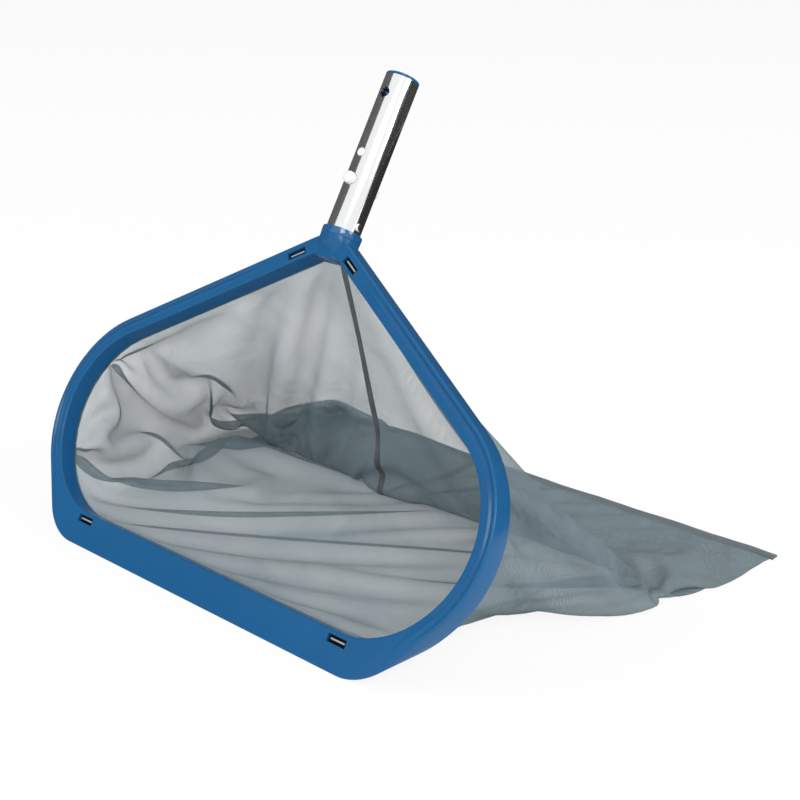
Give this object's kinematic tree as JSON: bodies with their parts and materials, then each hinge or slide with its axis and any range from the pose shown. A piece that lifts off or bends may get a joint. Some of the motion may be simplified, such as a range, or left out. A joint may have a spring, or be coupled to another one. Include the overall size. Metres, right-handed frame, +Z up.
{
  "type": "leaf skimmer net",
  "caption": "Pool leaf skimmer: a plastic scoop frame with a deep mesh bag and a short metal tube with a snap clip that plugs into a telescopic pole.",
  "frame": {"origin": "middle of the flat sole on the scoop edge, on the floor", "axes": "+X across the frame, +Y back towards the bag's far end, +Z up; the frame leans back 32 degrees"},
  "size_m": [0.606, 0.3775, 0.3844],
  "materials": {
    "blue_plastic": "satin moulded",
    "tube_metal": "polished",
    "clip_plastic": "natural nylon",
    "latch_plastic": "moulded",
    "mesh": "fine woven mesh",
    "seam_tape": "heathered tape"
  },
  "bodies": {
    "head": {"front_frame": "blue_plastic", "clamp_ring": "blue_plastic", "mesh_roll": "mesh", "latch_low_left": "latch_plastic", "latch_low_right": "latch_plastic", "latch_high_left": "latch_plastic", "latch_high_right": "latch_plastic", "tube_spigot": "blue_plastic", "neck_collar": "blue_plastic", "handle_tube": "tube_metal", "end_plug": "blue_plastic", "rivet_left": "tube_metal", "rivet_right": "tube_metal", "clip_bow": "clip_plastic", "net_bag": "mesh", "seam_tape": "seam_tape", "end_hem": "mesh"},
    "front_button": {"clip_arm_front": "clip_plastic"},
    "back_button": {"clip_arm_back": "clip_plastic"}
  },
  "joints": [
    {"name": "front_press", "type": "hinge", "parent": "head", "child": "front_button", "pos_m": [0, 0.21197, 0.34505], "axis": [1, 0, 0], "range_deg": [0, 7], "stiffness_Nm_per_rad": 4, "springref_deg": -1.72},
    {"name": "back_press", "type": "hinge", "parent": "head", "child": "back_button", "pos_m": [0, 0.23052, 0.33346], "axis": [-1, 0, 0], "range_deg": [0, 7], "stiffness_Nm_per_rad": 4, "springref_deg": -1.72}
  ]
}
